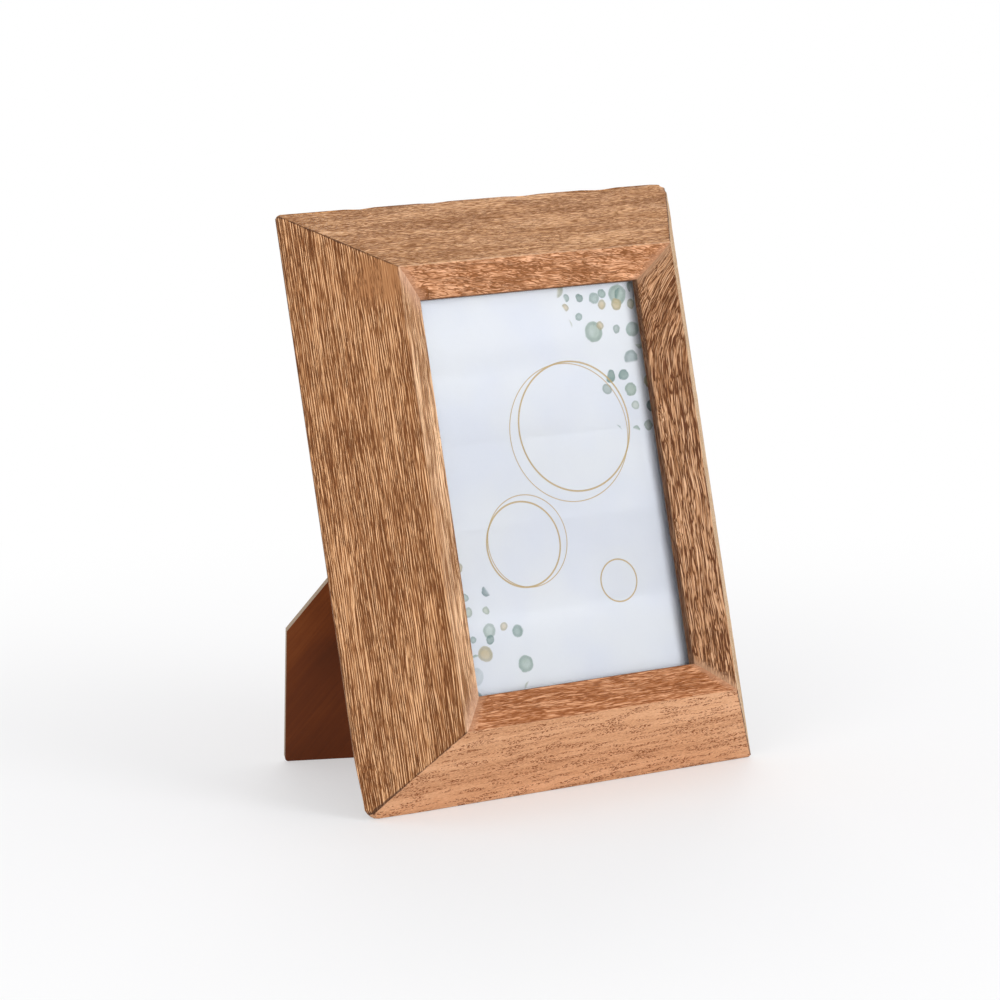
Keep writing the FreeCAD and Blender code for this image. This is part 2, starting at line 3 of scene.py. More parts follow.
import bmesh
import bpy
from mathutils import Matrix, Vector


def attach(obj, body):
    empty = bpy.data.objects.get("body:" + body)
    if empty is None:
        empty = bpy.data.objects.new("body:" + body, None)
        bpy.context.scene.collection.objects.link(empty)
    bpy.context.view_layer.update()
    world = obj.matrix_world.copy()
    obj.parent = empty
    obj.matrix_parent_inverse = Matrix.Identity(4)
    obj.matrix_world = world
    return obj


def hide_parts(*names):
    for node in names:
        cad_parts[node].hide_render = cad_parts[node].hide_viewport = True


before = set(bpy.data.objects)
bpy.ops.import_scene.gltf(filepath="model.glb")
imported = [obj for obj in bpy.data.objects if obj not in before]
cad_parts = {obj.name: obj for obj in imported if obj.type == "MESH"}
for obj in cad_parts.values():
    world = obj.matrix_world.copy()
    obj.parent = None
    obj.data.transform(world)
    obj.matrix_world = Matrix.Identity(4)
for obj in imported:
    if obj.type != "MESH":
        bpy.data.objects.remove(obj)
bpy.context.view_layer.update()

MM = 0.001

# The frame leans back on its standing edge. Flat on the bench it lies with u across, v up and w towards
# whoever looks at it, and the ridges of the moulding are at w = 0.
LEAN = 15.290718
TILT = math.radians(90 - LEAN)
STAND = Vector((0, -6.58455, 111.47770)) * MM
STAND_TURNS = (TILT, 0, 0)

# The moulding's section, in millimetres out from the sight opening and down from the ridge. Its outer edge
# steps in by FOOT_IN between the rim and the back, so that it stands flat.
HALF_OPENING = (45, 69)
RIDGE_OUT = 11.5
RIM_OUT = 37
FOOT_IN = 0.41
OPENING_DEPTH = 8.5
LIP_DEPTH = 11.5
BOARD_DEPTH = 33.5
RIM_DEPTH = 35
BACK_DEPTH = 36.5
# How far the rabbets reach out from the opening, across and up
GLASS_RABBET = (7, 8)
BOARD_RABBET = (13, 14)
HALF_SIZE = tuple(half + RIM_OUT for half in HALF_OPENING)
CORNER_SHIFT = HALF_OPENING[1] - HALF_OPENING[0]
SLOPE = Vector((RIM_OUT - RIDGE_OUT, RIM_DEPTH)).normalized()

# The members, by the side of the opening that each lies on, across and up
MEMBERS = {"stile_left": (-1, 0), "stile_right": (1, 0), "rail_top": (0, 1), "rail_bottom": (0, -1)}

# The strut board's own axes, swung open about the hinge's pin, and its two faces
STRUT_PLACE = Vector((6.90041, 31.35432, 110.35281)) * MM
STRUT_TURNS = tuple(math.radians(turn) for turn in (106.53224, 36.17205, -11.53053))
STRUT_FACES = (-3.4, -0.4)

# Where along w the print's unprinted back lies
PRINT_BACK = -13.7

CAMERA_PLACE = (-0.8060739, -1.2353141, 0.3897854)
CAMERA_TURNS = (79.0362652, 0.2976472, -32.3434713)
CAMERA_LENS = 154.62
CAMERA_SENSOR = 36


def make_camera():
    bpy.ops.object.camera_add(location=CAMERA_PLACE, rotation=[math.radians(turn) for turn in CAMERA_TURNS])
    camera = bpy.context.object
    camera.name = "camera"
    camera.data.lens = CAMERA_LENS
    camera.data.sensor_width = CAMERA_SENSOR
    bpy.context.scene.camera = camera


make_camera()


# Shader maths
EVEN = 0.5    # the middle of any noise


class Signal:
    """A node's output that can be added, multiplied and compared like a number."""

    def __init__(self, finish, socket):
        self.finish = finish
        self.socket = socket

    def math(self, operation, *values):
        return self.finish.node("ShaderNodeMath", {"operation": operation}, dict(enumerate(values)))

    def __add__(self, other):
        return self.math("ADD", self, other)

    def __radd__(self, other):
        return self.math("ADD", other, self)

    def __sub__(self, other):
        return self.math("SUBTRACT", self, other)

    def __rsub__(self, other):
        return self.math("SUBTRACT", other, self)

    def __mul__(self, other):
        return self.math("MULTIPLY", self, other)

    def __rmul__(self, other):
        return self.math("MULTIPLY", other, self)

    def __truediv__(self, other):
        return self.math("DIVIDE", self, other)

    def __abs__(self):
        return self.math("ABSOLUTE", self)

    def most(self, other):
        return self.math("MAXIMUM", self, other)

    def root(self):
        return self.math("SQRT", self)

    def sine(self):
        return self.math("SINE", self)

    def swing(self, size):
        """A noise turned into a push of up to half the size either way."""
        return (self - EVEN) * size

    def rise(self, start, end):
        """0 at start and 1 at end, eased between them and level beyond. Either may be the lower."""
        low, high = sorted((start, end))
        sockets = {"Value": self, "From Min": low, "From Max": high,
                   "To Min": float(start > end), "To Max": float(start < end)}
        return self.finish.node("ShaderNodeMapRange", {"interpolation_type": "SMOOTHSTEP"}, sockets)


class Finish:
    """The nodes of one material, or of the surroundings."""

    def __init__(self, owner):
        self.owner = owner
        owner.use_nodes = True
        self.tree = owner.node_tree
        self.tree.nodes.clear()

    def node(self, kind, settings=None, sockets=None, out=0):
        """A node with its settings made first, then its sockets set or linked, and one output read."""
        made = self.tree.nodes.new(kind)
        for setting, value in (settings or {}).items():
            if setting == "stops":
                self.set_stops(made.color_ramp, value)
            else:
                setattr(made, setting, value)
        for key, value in (sockets or {}).items():
            socket = made.inputs[key] if isinstance(key, int) else self.find(made.inputs, key)
            if isinstance(value, Signal):
                self.tree.links.new(value.socket, socket)
            else:
                socket.default_value = value
        if out is None:
            return None
        chosen = made.outputs[out] if isinstance(out, int) else self.find(made.outputs, out)
        return Signal(self, chosen)

    @staticmethod
    def set_stops(ramp, stops):
        while len(ramp.elements) < len(stops):
            ramp.elements.new(0.5)
        for element, (place, colour) in zip(ramp.elements, stops):
            element.position = place
            element.color = colour

    @staticmethod
    def find(sockets, key):
        return next(socket for socket in sockets if key in (socket.identifier, socket.name))

    def place(self, origin=STAND, turns=STAND_TURNS):
        """Where a point is along a board's own axes, in millimetres: u, v and w, if it is the frame's."""
        point = self.node("ShaderNodeTexCoord", out="Object")
        own = self.node("ShaderNodeMapping", {"vector_type": "TEXTURE"},
                        {"Vector": point, "Location": origin, "Rotation": turns, "Scale": (MM, MM, MM)})
        return self.parts(own)

    def parts(self, vector):
        split = self.node("ShaderNodeSeparateXYZ", None, {0: vector})
        return [Signal(self, socket) for socket in split.socket.node.outputs]

    def vector(self, x, y, z):
        return self.node("ShaderNodeCombineXYZ", None, {0: x, 1: y, 2: z})

    def noise(self, vector, scale=1.0, detail=2.0, roughness=0.5, distortion=0.0, out="Fac"):
        sockets = {"Vector": vector, "Scale": scale, "Detail": detail, "Roughness": roughness,
                   "Distortion": distortion}
        return self.node("ShaderNodeTexNoise", None, sockets, out)

    def ramp(self, value, stops):
        return self.node("ShaderNodeValToRGB", {"stops": stops}, {"Fac": value}, "Color")

    def blend(self, share, first, second):
        """One colour over another."""
        return self.node("ShaderNodeMix", {"data_type": "RGBA", "blend_type": "MIX"},
                         {"Factor_Float": share, "A_Color": first, "B_Color": second}, "Result_Color")

    def between(self, share, first, second):
        """From the first number to the second as share goes from 0 to 1."""
        return first + share * (second - first)

    def bump(self, height, distance):
        return self.node("ShaderNodeBump", None, {"Height": height, "Distance": distance * MM}, "Normal")

    def surface(self, **sockets):
        values = {name.replace("_", " "): value for name, value in sockets.items()}
        return self.node("ShaderNodeBsdfPrincipled", None, values, "BSDF")

    def output(self, shader, kind="ShaderNodeOutputMaterial"):
        self.node(kind, None, {"Surface": shader}, out=None)
        return self.owner


def new_finish(name):
    return Finish(bpy.data.materials.new(name))


def tone(red, green, blue):
    """A colour read off a paint card, 0 to 255, as the shader's linear colour."""
    def linear(level):
        level /= 255
        return level / 12.92 if level <= 0.04045 else ((level + 0.055) / 1.055) ** 2.4
    return (linear(red), linear(green), linear(blue), 1.0)


def spread(tones):
    """Ramp stops for five tones, darkest first, over the range that a noise keeps to."""
    places = (0.08, 0.33, 0.5, 0.67, 0.92)
    return [(place, tone(*colour)) for place, colour in zip(places, tones)]


WHITE = (1, 1, 1, 1)
# The colour of a painted highlight along the ridge
RIDGE_HIGHLIGHT_TONE = tone(226, 184, 148)
# Dark of the dirt in the mitres, also used as painted shade along the rim and under the lip
SEAM_DIRT_AND_SHADE_TONE = tone(74, 41, 22)
DUSTY_TONE = tone(150, 112, 80)

# The figure of each face of the wood, in millimetres. Fibre, strand and band are layers of grain, each as
# wide and long as its first two numbers say and as strong as the third. A vein has its width, length, the
# share of it that shows, and how dark it is. Pores have a width, length, the level from which they open, and
# their darkness, and lie in rows with a width, length and level. Sway is how far the grain wanders, over
# sway_length. A slant leans the grain from a place on, by so much, tilted so much into the depth, and curl
# bends it further. A comb has its period and strength, and calm is a patch without grain: its place along
# and across, and its reach.
# Each look also sets how strong a painted highlight along the ridge is.
BRUSHED = {
    "sway": 0.8, "sway_length": 30, "slant": (0, 0, 0), "curl": 0,
    "fibre": (0.34, 7, 1.8), "strand": (0.9, 28, 0.5), "band": (5.0, 50, 0.8),
    "vein": (0.45, 24, 0.08, 0.36), "pore": (0.2, 3.6, 0.56, 0.45), "row": (4.0, 30, 0.42),
    "comb": None, "calm": None, "relief": 0.34, "ridge_highlight": 0.15,
}
LEFT = dict(
    BRUSHED, comb=(0.88, 0.8), calm=(77, 60, 13),
    tones=[(114, 64, 25), (147, 94, 52), (174, 121, 76), (202, 149, 102), (232, 180, 133)])
PALE = dict(
    BRUSHED, fibre=(0.34, 12, 2.2), strand=(0.8, 30, 1.4), band=(3.5, 50, 0.9), vein=(0.8, 24, 0.07, 0.55),
    sanded=7.5, sanded_tone=(192, 150, 124),
    tones=[(136, 89, 49), (176, 129, 89), (210, 163, 123), (233, 189, 148), (250, 208, 167)])
CURLY = dict(
    BRUSHED, sway=2.2, sway_length=16, slant=(30, 0, 0.74), curl=-0.0085,
    fibre=(0.3, 8, 1.3), strand=(0.7, 14, 0.6), band=(5, 50, 0.6),
    vein=(0.6, 15, 0.085, 0.68), pore=(0.3, 2.6, 0.6, 0.2), sanded=3.2, sanded_tone=(168, 130, 100),
    tones=[(94, 51, 22), (144, 97, 60), (183, 136, 98), (203, 158, 121), (224, 180, 143)])
FLECKED = dict(
    BRUSHED, sway=2.8, sway_length=14,
    fibre=(0.3, 3.4, 2.3), strand=(0.9, 9, 0.8), band=(6, 50, 1.0),
    vein=(1.2, 7, 0.04, 0.36), pore=(0.26, 1.6, 0.54, 0.4), relief=0.2, ridge_highlight=0.4,
    tones=[(131, 81, 38), (157, 106, 61), (176, 125, 78), (193, 142, 95), (214, 163, 115)])
REDDISH = dict(
    BRUSHED, sway=3.0, sway_length=10, slant=(-99, 0.12, 0.74), fibre=(0.26, 4.0, 2.0), strand=(0.9, 8, 1.2),
    vein=(0.9, 7, 0.06, 0.5), sanded=3.0, sanded_tone=(168, 122, 92),
    tones=[(136, 84, 46), (168, 112, 72), (190, 135, 95), (208, 153, 114), (228, 174, 136)])
DASHED = dict(
    BRUSHED, sway=1.8, sway_length=7, slant=(-99, -0.04, 1.37),
    fibre=(0.3, 1.1, 0.9), strand=(1.2, 14, 0.3), band=(7, 90, 0.7), vein=(1.6, 20, 0.03, 0.1),
    pore=(0.42, 0.9, 0.53, 2.1), row=(1.6, 12, 0.5), relief=0.14,
    tones=[(136, 84, 52), (190, 138, 98), (207, 155, 114), (219, 168, 128), (230, 180, 140)])
FINE = dict(
    REDDISH, sway=1.6, sway_length=22, slant=(0, 0, 0), strand=(0.8, 12, 1.4), vein=(0.8, 12, 0.06, 0.5),
    tones=[(134, 76, 38), (161, 102, 62), (181, 123, 84), (198, 141, 102), (216, 159, 120)])
# The right stile's outer slope: partly its own paler wood, partly a painted sheen, the light that this
# grazing face catches from the white surroundings.
PALE_SIDE_AND_SHEEN = dict(
    BRUSHED, tones=[(166, 128, 90), (196, 160, 121), (216, 182, 145), (231, 201, 166), (243, 218, 187)])

# Each member's outer slope and inner bevel
MEMBER_FIGURES = {
    "stile_left": (LEFT, PALE),
    "stile_right": (PALE_SIDE_AND_SHEEN, CURLY),
    "rail_top": (FLECKED, REDDISH),
    "rail_bottom": (DASHED, FINE),
}


# Wood
def grain(finish, along, across, deep, look):
    """The grain of one sawn face: how light it is, and how high it stands."""
    sway_width = look["sway_length"] * 0.35
    drift = finish.noise(finish.vector(along / look["sway_length"], across / sway_width, deep / sway_width),
                         detail=1.5, out="Color")
    pull_across, pull_deep, _ = finish.parts(drift)
    start, amount, tilt = look["slant"]
    leaning = (along - start).most(0)
    slant = leaning * (leaning * look["curl"] + amount)
    across = across + pull_across.swing(look["sway"]) + slant
    deep = deep + pull_deep.swing(look["sway"]) + slant * tilt

    def strands(width, length, detail=1.0, roughness=0.5):
        place = finish.vector(across / width, along / length, deep / width)
        return finish.noise(place, detail=detail, roughness=roughness)

    fibre = strands(*look["fibre"][:2], detail=1.2, roughness=0.6)
    strand = strands(*look["strand"][:2], detail=2.0)
    band = strands(*look["band"][:2], detail=1.5)
    lightness = (fibre.swing(look["fibre"][2]) + strand.swing(look["strand"][2])
                 + band.swing(look["band"][2]) + EVEN)
    if look["comb"]:
        lightness = lightness + combed(across, deep, strands, *look["comb"])

    vein_width, vein_length, vein_reach, vein_darkness = look["vein"]
    vein = strands(vein_width, vein_length, detail=1.5)
    veins = abs(vein - EVEN).rise(vein_reach, 0.0) * vein_darkness
    if look["calm"]:
        quiet = calm_patch(along, across, *look["calm"])
        lightness = finish.between(quiet, lightness, 0.44)
        veins = veins * (1 - quiet)

    pore_width, pore_length, pore_level, pore_darkness = look["pore"]
    row_width, row_length, row_level = look["row"]
    pores = (strands(pore_width, pore_length).rise(pore_level, pore_level + 0.07)
             * strands(row_width, row_length).rise(row_level, row_level + 0.08))
    height = fibre * 0.7 + strand * 0.3 - pores * 0.5 - veins
    return lightness - pores * pore_darkness - veins, height


def combed(across, deep, strands, period, strength):
    """Even grooves side by side down the outer slope, as a wire brush leaves them, wavering and fading."""
    down_slope = (abs(across) * SLOPE.x - deep * SLOPE.y) * (2 * math.pi / period)
    waver = strands(2.4, 36).swing(14)
    fading = strands(0.7, 7).rise(0.25, 0.75)
    return (down_slope + waver).sine() * fading * strength


def calm_patch(along, across, far_along, far_across, reach):
    """Most of the way to 1 within a round patch, and 0 outside it."""
    off_along = (along - far_along) / reach
    off_across = (abs(across) - far_across) / reach
    return (off_along * off_along + off_across * off_across).root().rise(1.0, 0.3) * 0.85


def wood(name):
    """A member of the moulding: one figure on its outer slope, another on its inner bevel."""
    finish = new_finish(f"{name}_wood")
    u, v, w = finish.place()
    upright = MEMBERS[name][0] != 0
    along, across = (v, u) if upright else (u, v)
    half_along, half_across = HALF_OPENING[::-1] if upright else HALF_OPENING
    away = abs(across) - half_across
    to_mitre = ((half_along + away) - abs(along)) * math.sqrt(0.5)

    outer, bevel = MEMBER_FIGURES[name]
    outer_lightness, outer_height = grain(finish, along, across, w, outer)
    bevel_lightness, bevel_height = grain(finish, along, across, w, bevel)
    on_bevel = away.rise(RIDGE_OUT + 0.25, RIDGE_OUT - 0.25)
    colour = finish.blend(on_bevel, finish.ramp(outer_lightness, spread(outer["tones"])),
                          finish.ramp(bevel_lightness, spread(bevel["tones"])))
    height = finish.between(on_bevel, outer_height, bevel_height)
    ragged = finish.noise(finish.vector(u, v, w), scale=0.45, detail=3, roughness=0.6)

    # Sanded smooth and pale where the bevels meet
    sanded = (to_mitre + ragged.swing(5)).rise(bevel["sanded"], 0.4) * on_bevel
    colour = finish.blend(sanded * 0.75, colour, tone(*bevel["sanded_tone"]))
    # Painted highlight: a pale line along the rounded ridge, where the surface is also a little less rough
    ridge_highlight = (abs(away - RIDGE_OUT) + ragged.swing(0.9)).rise(0.42, 0.08) * outer["ridge_highlight"]
    colour = finish.blend(ridge_highlight, colour, RIDGE_HIGHLIGHT_TONE)
    # Painted shade along the rim and under the lip, where the edges fall in shadow, and dirt in the open
    # mitre
    rim = (away + ragged.swing(0.8)).rise(RIM_OUT - 0.6, RIM_OUT - 0.1) * 0.4
    seam = (to_mitre + ragged.swing(1.1)).rise(0.42, 0.06) * (1 - on_bevel) * 0.8
    lip_shade = (away + ragged.swing(0.3)).rise(0.3, 0.0) * 0.6
    colour = finish.blend(rim.most(seam).most(lip_shade), colour, SEAM_DIRT_AND_SHADE_TONE)
    # The back and the rabbets are bare, dusty wood
    back = (w + ragged.swing(0.4)).rise(0.5 - BACK_DEPTH, 0.1 - BACK_DEPTH)
    rabbets = w.rise(0.3 - LIP_DEPTH, 0.1 - LIP_DEPTH) * away.rise(BOARD_RABBET[1], BOARD_RABBET[0])
    colour = finish.blend(back.most(rabbets) * 0.55, colour, DUSTY_TONE)

    relief = finish.bump(height * (1 - sanded * 0.7), outer["relief"])
    rough = 0.62 + (EVEN - outer_lightness) * 0.25 - ridge_highlight * 0.12
    return finish.output(finish.surface(Base_Color=colour, Roughness=rough, Specular_IOR_Level=0.3,
                                        Normal=relief))


# Boards, steel and card
FACING_TONES = [(87, 39, 9), (97, 44, 12), (106, 50, 14), (116, 57, 18), (129, 69, 28)]
FIBREBOARD_TONES = [(112, 92, 74), (142, 122, 102), (164, 146, 126), (182, 166, 146), (204, 190, 172)]
SCUFFED_TONE = tone(140, 100, 76)


def faced_board(name, place, turns, low, high):
    """Dense fibreboard with a dark wood-look facing on both sides and bare sawn edges."""
    finish = new_finish(name)
    x, y, z = finish.place(place, turns)
    fleck = finish.noise(finish.vector(x / 0.35, y / 0.35, z / 0.35), detail=3, roughness=0.7)
    streak = finish.noise(finish.vector(x / 0.8, y / 22, z), detail=2)
    cloudy = finish.noise(finish.vector(x / 30, y / 45, z), detail=2)
    facing = finish.ramp(streak.swing(0.5) + cloudy.swing(1.6) + fleck.swing(0.25) + EVEN,
                         spread(FACING_TONES))
    bare = finish.ramp(fleck, spread(FIBREBOARD_TONES))
    skin = 0.14 + fleck.swing(0.12)
    inside = (z - (skin + low)).rise(0, 0.08) * ((high - skin) - z).rise(0, 0.08)
    scuff = finish.noise(finish.vector(x / 6, y / 1.2, z), detail=4, roughness=0.7).rise(0.68, 0.78) * 0.25
    colour = finish.blend(inside, finish.blend(scuff, facing, SCUFFED_TONE), bare)
    rough = finish.between(inside, 0.46 + fleck.swing(0.3) + scuff * 0.3, 0.92)
    relief = finish.bump(finish.between(inside, streak * 0.4 + fleck * 0.2, fleck), 0.12)
    return finish.output(finish.surface(Base_Color=colour, Roughness=rough, Specular_IOR_Level=0.2,
                                        Normal=relief))


def plated_steel(name, tones, rough):
    """Stamped, plated steel: fine rolling marks, dull patches and small dark spots."""
    finish = new_finish(name)
    u, v, w = finish.place()
    rolling = finish.noise(finish.vector(u / 0.15, v / 2.5, w / 0.15), detail=2, roughness=0.6)
    dull = finish.noise(finish.vector(u, v, w), scale=0.35, detail=4, roughness=0.65)
    spots = finish.noise(finish.vector(u, v, w), scale=1.3).rise(0.66, 0.72)
    stops = [(place, tone(*colour)) for place, colour in zip((0.3, 0.55, 0.75), tones)]
    colour = finish.blend(spots * 0.5, finish.ramp(rolling * 0.5 + dull * 0.5, stops), tone(92, 84, 74))
    relief = finish.bump(rolling * 0.4 + dull, 0.03)
    return finish.output(finish.surface(Base_Color=colour, Metallic=1 - spots * 0.4,
                                        Roughness=rough + dull.swing(0.35) + spots * 0.3, Normal=relief))


def pressed_card(name, tones, fleck_size):
    """Grey or brown board, pulp showing as fine flecks."""
    finish = new_finish(name)
    u, v, w = finish.place()
    pulp = finish.noise(finish.vector(u, v, w), scale=1 / fleck_size, detail=4, roughness=0.7)
    hairs = finish.noise(finish.vector(u / 0.2, v / 1.6, w / 0.2), detail=2, distortion=1.5).rise(0.66, 0.74)
    colour = finish.blend(hairs * 0.4, finish.ramp(pulp, spread(tones)), tone(110, 90, 70))
    return finish.output(finish.surface(Base_Color=colour, Roughness=0.85 + pulp.swing(0.2),
                                        Specular_IOR_Level=0.25, Normal=finish.bump(pulp, 0.08)))


# Glass and print
def pane_glass():
    """Clear picture glass, flat and thin enough to see straight through, with the shine of both faces."""
    finish = new_finish("pane_glass")
    through = finish.node("ShaderNodeBsdfTransparent", None, {"Color": (0.99, 0.995, 1.0, 1)}, "BSDF")
    shine = finish.surface(Base_Color=WHITE, Metallic=1.0, Roughness=0.03)
    glancing = finish.node("ShaderNodeFresnel", None, {"IOR": 1.5}, "Fac")
    return finish.output(finish.node("ShaderNodeMixShader", None, {0: glancing, 1: through, 2: shine}))


PAPER_TONES = (tone(238, 240, 244), tone(233, 236, 244))
PAPER_BACK_TONE = tone(228, 226, 220)
DAB_INKS = [(0.0, tone(108, 140, 132)), (0.22, tone(146, 172, 162)), (0.4, tone(176, 192, 174)),
            (0.58, tone(120, 142, 146)), (0.74, tone(196, 204, 188)), (0.9, tone(206, 186, 140))]
DAB_EDGE_TONE = tone(84, 112, 112)
GOLD_TONE = tone(196, 164, 98)
# Clusters of dabs: how far apart they lie, the middles of the clusters, and how far each spreads
DAB_CLUSTERS = ((12.5, ((40, 62), (-38, -56)), 34), (7.2, ((30, 70), (-44, -40), (44, 30)), 26))
# Rings: their middle across and up, their radius, and the line's half width
RINGS = ((13, 20, 23, 0.3), (10.5, 18, 24.5, 0.16), (-15, -19, 15, 0.3), (-13.2, -18, 16.2, 0.16),
         (22, -36, 7.5, 0.26))


def from_spot(u, v, spot_u, spot_v):
    off_u = u - spot_u
    off_v = v - spot_v
    return (off_u * off_u + off_v * off_v).root()


def paint_dabs(finish, colour, u, v, wash, spacing, middles, reach):
    """Loose round dabs of thin colour, fewer and fewer away from the middles of their clusters."""
    bent = finish.vector((u + wash.swing(2.4)) / spacing, (v + wash.swing(2.0)) / spacing, spacing)
    cells = {"Vector": bent, "Scale": 1.0, "Randomness": 0.62}
    gap, draw = [finish.node("ShaderNodeTexVoronoi", {"voronoi_dimensions": "2D"}, cells, out)
                 for out in ("Distance", "Color")]
    chance, kind, strength = finish.parts(draw)
    near = 0
    for middle_u, middle_v in middles:
        near = from_spot(u, v, middle_u, middle_v).rise(reach, reach * 0.3).most(near)
    radius = 0.15 + strength * 0.18
    dab = (gap - radius).rise(0.035, -0.01) * (near - chance * 0.9).rise(0.1, 0.16)
    edge = (gap - radius * 0.86).rise(-0.09, 0.0) * dab
    colour = finish.blend(dab * (0.62 + wash.swing(0.9) + strength * 0.25), colour,
                          finish.ramp(kind, DAB_INKS))
    return finish.blend(edge * 0.25, colour, DAB_EDGE_TONE)


def printed_paper():
    """The paper shown in the frame: cool white, with loose round dabs of colour and thin rings in gold."""
    finish = new_finish("printed_paper")
    u, v, w = finish.place()
    tooth = finish.noise(finish.vector(u, v, w), scale=3, detail=3, roughness=0.6)
    wash = finish.noise(finish.vector(u, v, 0), scale=0.16, detail=4, roughness=0.6)
    drift = finish.noise(finish.vector(u, v, 0), scale=0.03)
    colour = finish.blend(drift.rise(0.35, 0.65), *PAPER_TONES)
    for cluster in DAB_CLUSTERS:
        colour = paint_dabs(finish, colour, u, v, wash, *cluster)
    for ring_u, ring_v, radius, line in RINGS:
        off = abs(from_spot(u, v, ring_u, ring_v) - radius)
        colour = finish.blend(off.rise(line + 0.08, line - 0.06) * 0.85, colour, GOLD_TONE)
    behind = w.rise(PRINT_BACK + 0.02, PRINT_BACK - 0.02)
    colour = finish.blend(behind, colour, PAPER_BACK_TONE)
    return finish.output(finish.surface(Base_Color=colour, Roughness=0.55 + tooth.swing(0.15),
                                        Specular_IOR_Level=0.3, Normal=finish.bump(tooth, 0.02)))


def dress(material, *nodes):
    for node in nodes:
        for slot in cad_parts[node].material_slots:
            slot.material = material


CARD_TONES = [(150, 146, 138), (164, 160, 152), (174, 170, 162), (184, 180, 172), (198, 195, 188)]
SPACER_TONES = [(126, 96, 68), (146, 114, 84), (162, 130, 98), (178, 146, 114), (196, 166, 134)]
HINGE_TONES = [(150, 150, 152), (186, 186, 186), (208, 207, 204)]
BUTTON_TONES = [(140, 138, 134), (176, 174, 168), (200, 198, 192)]
FASTENER_TONES = [(132, 126, 112), (172, 165, 148), (198, 191, 174)]
NAIL_TONES = [(96, 96, 98), (124, 124, 126), (146, 146, 146)]

dress(pane_glass(), "glass")
dress(printed_paper(), "print_sheet")
dress(pressed_card("backing_card_grey", CARD_TONES, 0.5), "backing_card")
dress(pressed_card("spacer_fibreboard", SPACER_TONES, 0.35),
      "spacer_left", "spacer_right", "spacer_top", "spacer_bottom")
dress(faced_board("back_board_faced", STAND, STAND_TURNS, -BACK_DEPTH, -BOARD_DEPTH), "back_board")
dress(faced_board("strut_board_faced", STRUT_PLACE, STRUT_TURNS, *STRUT_FACES), "strut_board")
dress(plated_steel("hinge_plated", HINGE_TONES, 0.34), "hinge_leaf_board", "hinge_leaf_strut", "hinge_pin")
dress(plated_steel("button_plated", BUTTON_TONES, 0.3),
      "turn_button_left", "turn_button_right", "turn_button_top", "turn_button_bottom")
dress(plated_steel("fastener_plated", FASTENER_TONES, 0.36), "board_rivets", "strut_rivets", "button_screws")
dress(plated_steel("nail_dull", NAIL_TONES, 0.5), "corner_nails")


# Working on meshes by hand
def alone(piece):
    bpy.ops.object.select_all(action="DESELECT")
    bpy.context.view_layer.objects.active = piece
    piece.select_set(True)


def pick(kind, wanted):
    """In edit mode, selects the vertices, edges or faces that pass the test."""
    bpy.ops.mesh.select_mode(type=kind)
    bpy.ops.mesh.select_all(action="DESELECT")
    mesh = bpy.context.edit_object.data
    shape = bmesh.from_edit_mesh(mesh)
    for item in {"VERT": shape.verts, "EDGE": shape.edges, "FACE": shape.faces}[kind]:
        if not item.hide and wanted(item):
            item.select_set(True)
    shape.select_flush_mode()
    bmesh.update_edit_mesh(mesh)


def middle(edge):
    return (edge.verts[0].co + edge.verts[1].co) / (2 * MM)


def out_from_opening(spot):
    """How far a spot is outside the sight opening, in millimetres, measured as the mitred moulding runs."""
    return max(abs(spot.x) - HALF_OPENING[0], abs(spot.y) - HALF_OPENING[1])


def from_mitre(spot):
    """How far a spot is from the nearest mitre plane, towards the stile."""
    return ((abs(spot.x) - HALF_OPENING[0]) - (abs(spot.y) - HALF_OPENING[1])) * math.sqrt(0.5)


def saw(place, normal, clear=False):
    """Cuts every face at a plane, and clears away what is beyond it if asked to."""
    bpy.ops.mesh.select_mode(type="FACE")
    bpy.ops.mesh.select_all(action="SELECT")
    bpy.ops.mesh.bisect(plane_co=Vector(place) * MM, plane_no=normal, use_fill=clear, clear_outer=clear)


def push(value, reach):
    bpy.ops.transform.translate(value=[part * MM for part in value], use_proportional_edit=True,
                                proportional_edit_falloff="SMOOTH", proportional_size=reach * MM)


# The moulding
CLOSE = 0.02          # how near a point lies to the line that it is picked by
LIP_ROUNDING = (0.35, 2)
RIDGE_ROUNDING = (0.55, 3)
RIM_ROUNDING = (0.5, 2)
# Outer corners, by their side across and up, and their radius
CORNERS = ((-1, 1, 3.0), (1, 1, 4.2), (1, -1, 2.2), (-1, -1, 6.0))
CORNER_TURNS = (15, 30, 45, 60, 75)
LOOP_STEP = 3
MITRE_LOOPS = (0, -0.3, 0.3, -1.3, 1.3, -2.6, 2.6)
# Worn spots: where, how near a point must be to be pushed there, the push, and how far round it reaches
WORN_SPOTS = (
    ((-80.2, -104.2, -35), 3, (1.2, 0.2, 0), 20),
    ((80.8, 104.8, -33.3), 0.8, (-0.55, -0.55, -0.3), 5),
    ((52, 106, -35), 3, (0, -0.4, 0), 6),
    ((20, 106, -35), 3, (0, -0.3, 0), 6),
    ((-18, 106, -35), 3, (0, -0.3, 0), 7),
    ((-48, 106, -35), 3, (0, -0.4, 0), 6),
)
ON_MITRE = 0.05       # how near a point is to the mitre that it lies on
VALLEY_FILL = (0.3, 0.3, 0.55)
VALLEY_REACH = 4
VALLEY_START = 1.5
VALLEY_END = 9.5
HIP_WEAR = 0.3
HIP_START = 12.5
HIP_END = 34.5
# The wandering of the worked faces: its name, size and depth
WANDERINGS = (("long", 22, 0.5), ("short", 4.5, 0.32))
SMOOTH_ANGLE = 32


